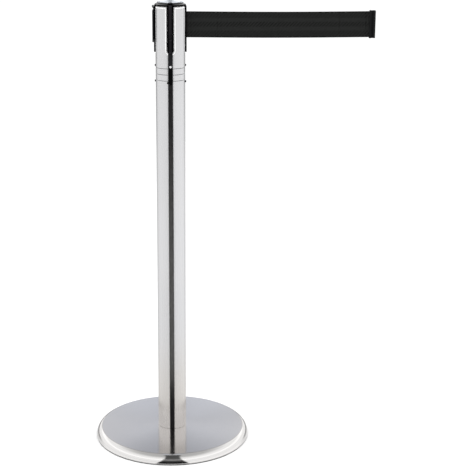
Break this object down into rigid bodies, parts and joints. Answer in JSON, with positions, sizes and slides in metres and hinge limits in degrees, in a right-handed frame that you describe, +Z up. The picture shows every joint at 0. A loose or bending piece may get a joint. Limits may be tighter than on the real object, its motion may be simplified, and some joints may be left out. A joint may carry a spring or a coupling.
{
  "type": "retractable belt stanchion",
  "caption": "Free-standing queue post with a weighted round base, slotted metal post and a cassette head that winds in a flat belt; three receivers take belt clips.",
  "frame": {"origin": "centre of the floor mat's underside, on the post's axis, at floor level", "axes": "+Z up along the post, +X the way the belt leaves the head, -Y the front"},
  "size_m": [0.553, 0.314, 0.9],
  "materials": {
    "bright_metal": "polished",
    "base_steel": "satin",
    "cap_chrome": "mirror",
    "receiver_plastic": "fine texture",
    "collar_plastic": "satin gloss",
    "clip_plastic": "fine texture",
    "infill_plastic": "extruded, slightly grained",
    "frame_plastic": "moulded",
    "screw_steel": "polished",
    "pin_steel": "ground",
    "zinc_steel": "zinc plated",
    "cast_weight": "as cast",
    "mat_rubber": "matt",
    "webbing": "woven polyester",
    "drum_alloy": "turned",
    "bush_bronze": "sintered",
    "spring_steel": "blued",
    "brake_lining": "sintered"
  },
  "bodies": {
    "root": {"post_profile": "bright_metal", "spacer_ring_lower": "bright_metal", "spacer_ring_upper": "bright_metal", "head_panel_front_left": "bright_metal", "head_panel_front_right": "bright_metal", "head_panel_back_left": "bright_metal", "head_panel_back_right": "bright_metal", "base_cover": "base_steel", "cap_dome": "cap_chrome", "receiver_front": "receiver_plastic", "receiver_back": "receiver_plastic", "receiver_left": "receiver_plastic", "belt_outlet": "receiver_plastic", "top_collar": "collar_plastic", "slot_infill_front": "infill_plastic", "slot_infill_right": "infill_plastic", "slot_infill_back": "infill_plastic", "slot_infill_left": "infill_plastic", "slot_foot_blocks": "infill_plastic", "alignment_keys": "infill_plastic", "foot_plug": "frame_plastic", "head_spigot": "frame_plastic", "cassette_core": "frame_plastic", "spring_cup_lid": "frame_plastic", "head_screws": "screw_steel", "collar_screws": "screw_steel", "guide_pins": "pin_steel", "spindle": "pin_steel", "base_bolt": "zinc_steel", "base_washer": "zinc_steel", "lock_washer": "zinc_steel", "thrust_washers": "zinc_steel", "spindle_circlip": "zinc_steel", "spring_cup": "zinc_steel", "base_weight": "cast_weight", "floor_mat": "mat_rubber", "brake_ring": "bush_bronze", "power_spring": "spring_steel"},
    "belt_end": {"belt_run": "webbing", "belt_clip": "clip_plastic", "belt_clip_pin": "pin_steel"},
    "drum": {"drum_hub": "drum_alloy", "drum_bush_lower": "bush_bronze", "drum_bush_upper": "bush_bronze", "drum_flange_upper": "drum_alloy", "drum_flange_lower": "drum_alloy", "belt_anchor_pin": "pin_steel", "belt_roll": "webbing", "brake_pins": "pin_steel", "brake_garter_spring": "spring_steel"},
    "shoe_a": {"brake_shoe_a": "brake_lining"},
    "shoe_b": {"brake_shoe_b": "brake_lining"},
    "spare_clip": {"parked_clip": "clip_plastic", "parked_clip_pin": "pin_steel"}
  },
  "joints": [
    {"name": "belt_pull", "type": "slide", "parent": "root", "child": "belt_end", "axis": [1, 0, 0], "range_m": [-0.352, 1.6], "deforming": ["belt_run"]},
    {"name": "drum_spin", "type": "hinge", "parent": "root", "child": "drum", "pos_m": [0, 0, 0.8502], "axis": [0, 0, 1], "range_deg": [-1165, 5250], "deforming": ["power_spring", "brake_garter_spring"]},
    {"name": "brake_shoe_a_pivot", "type": "hinge", "parent": "drum", "child": "shoe_a", "pos_m": [0.00968, -0.01039, 0.813], "axis": [0, 0, -1], "range_deg": [0, 3], "stiffness_Nm_per_rad": 0.02},
    {"name": "brake_shoe_b_pivot", "type": "hinge", "parent": "drum", "child": "shoe_b", "pos_m": [-0.00968, 0.01039, 0.813], "axis": [0, 0, -1], "range_deg": [0, 3], "stiffness_Nm_per_rad": 0.02},
    {"name": "parked_clip_lift", "type": "slide", "parent": "root", "child": "spare_clip", "axis": [0, 0, 1], "range_m": [0, 0.065]}
  ],
  "couplings": [
    {"joint": "drum_spin", "follows": "belt_pull", "rad_per_m": 57.143}
  ]
}
